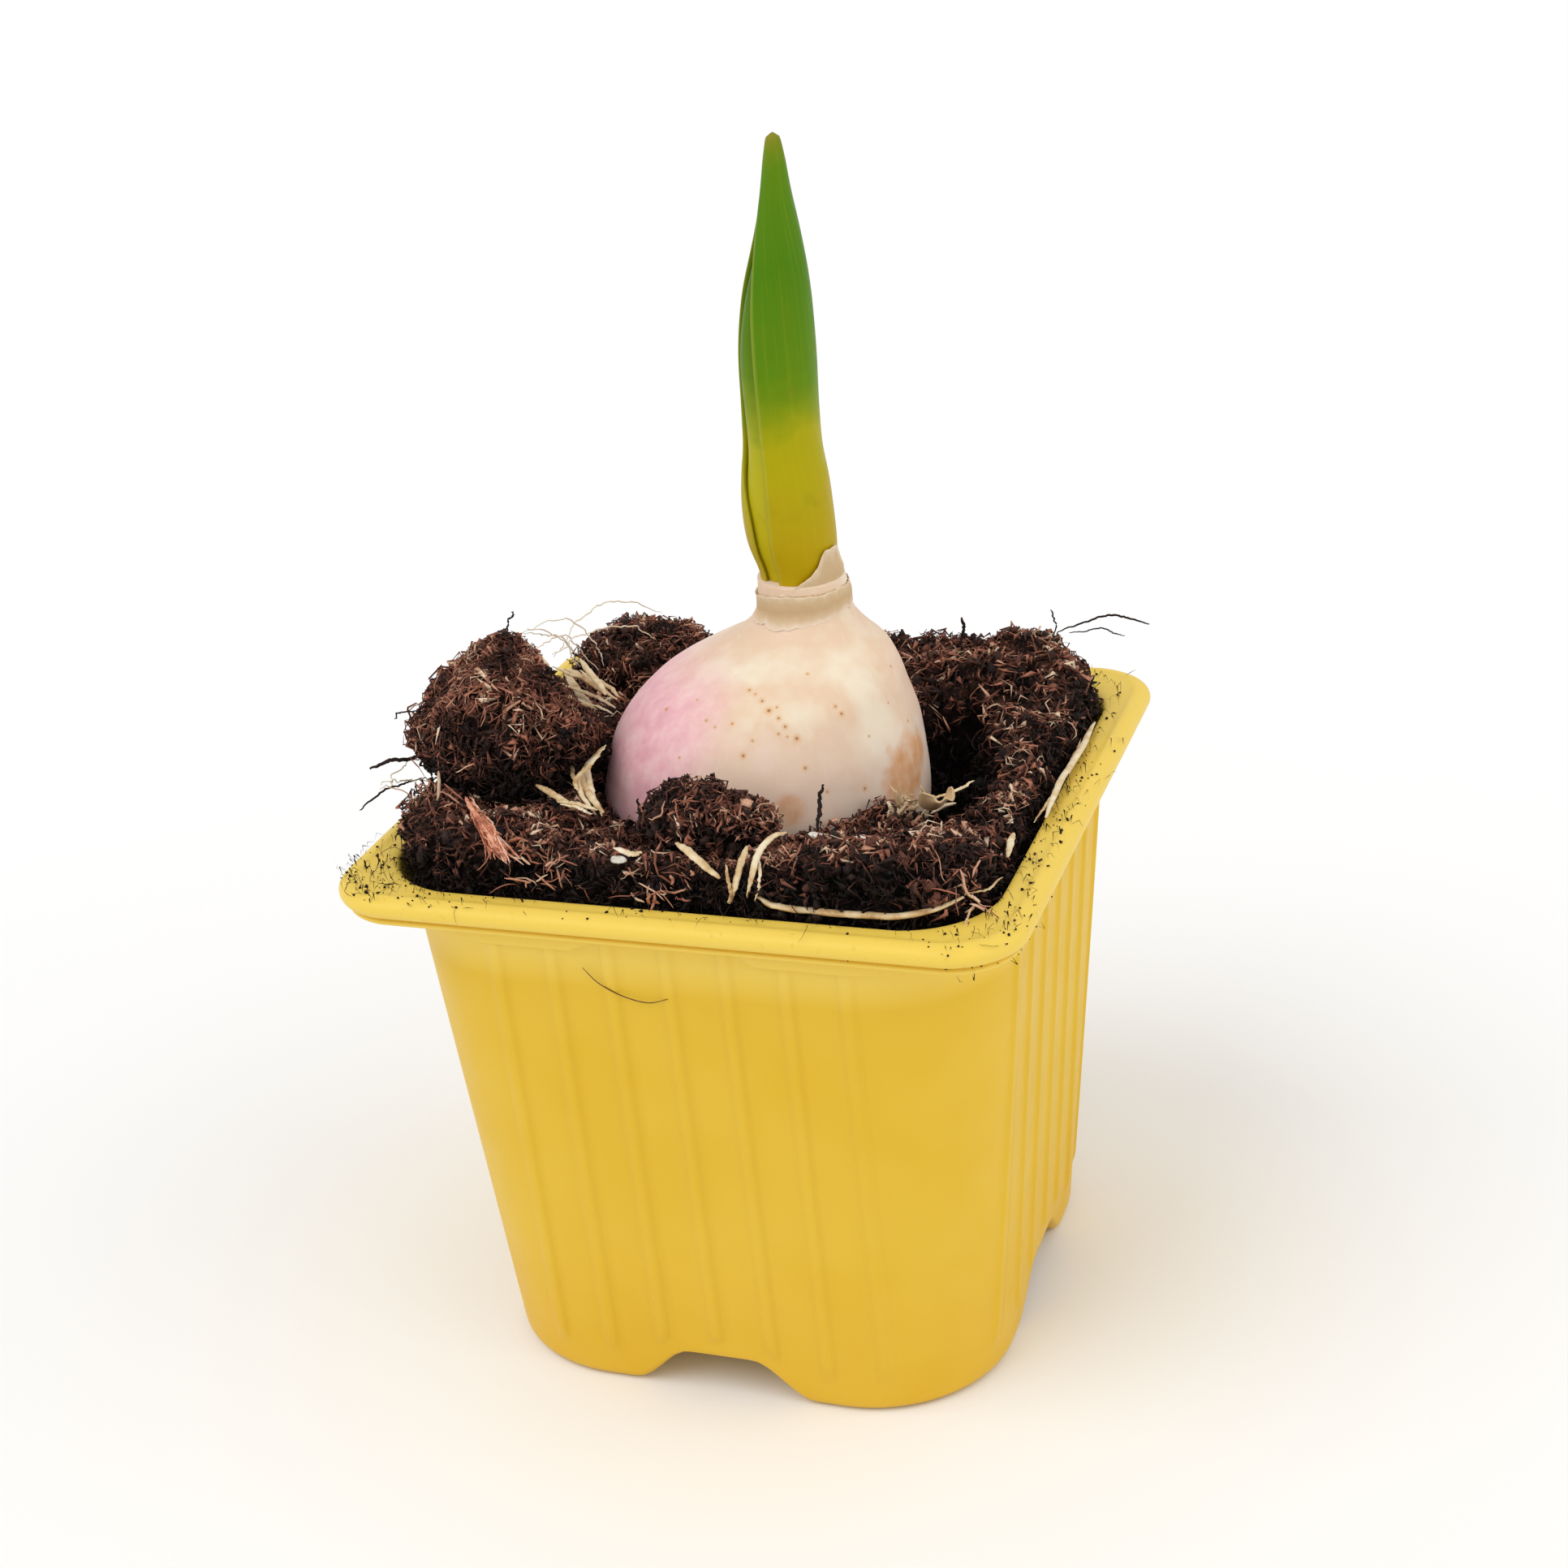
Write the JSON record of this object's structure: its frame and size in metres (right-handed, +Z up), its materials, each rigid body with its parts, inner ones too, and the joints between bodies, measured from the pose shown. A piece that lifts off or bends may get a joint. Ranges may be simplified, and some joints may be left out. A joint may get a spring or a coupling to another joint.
{
  "type": "potted tulip bulb",
  "caption": "Sprouting tulip bulb, half out of the compost, in a tapered square ribbed nursery pot with a rolled rim.",
  "frame": {"origin": "middle of the pot's footprint, on the surface that its feet rest on", "axes": "+Z up through the pot, -Y out of the front wall, +X to the right of the front wall"},
  "size_m": [0.09, 0.09, 0.161],
  "materials": {
    "pot_plastic": "semi-matte moulded yellow plastic",
    "compost": "dark fibrous peat and coir",
    "bulb_flesh": "satin cream flesh with a pink flush and brown specks",
    "papery_scale": "dry translucent scale",
    "leaf": "waxy green leaf, yellow towards its base",
    "root": "smooth cream root",
    "bark": "rough reddish bark",
    "perlite": "white porous grain"
  },
  "bodies": {
    "root": {"square_pot": "pot_plastic", "potting_compost": "compost", "soil_clod_left": "compost", "soil_clod_back": "compost", "soil_clod_front": "compost", "tulip_bulb": "bulb_flesh", "neck_collar": "papery_scale", "outer_leaf": "leaf", "inner_leaf": "leaf", "root_front_long": "root", "root_front_left": "root", "root_front_right": "root", "root_front_flat": "root", "root_left_inner": "root", "root_left_cross": "root", "root_back_1": "root", "root_back_2": "root", "root_back_3": "root", "root_rim_right": "root", "root_short_right": "root", "dry_husk": "papery_scale", "bark_splinter": "bark", "perlite_1": "perlite", "perlite_2": "perlite", "perlite_3": "perlite"}
  },
  "joints": []
}
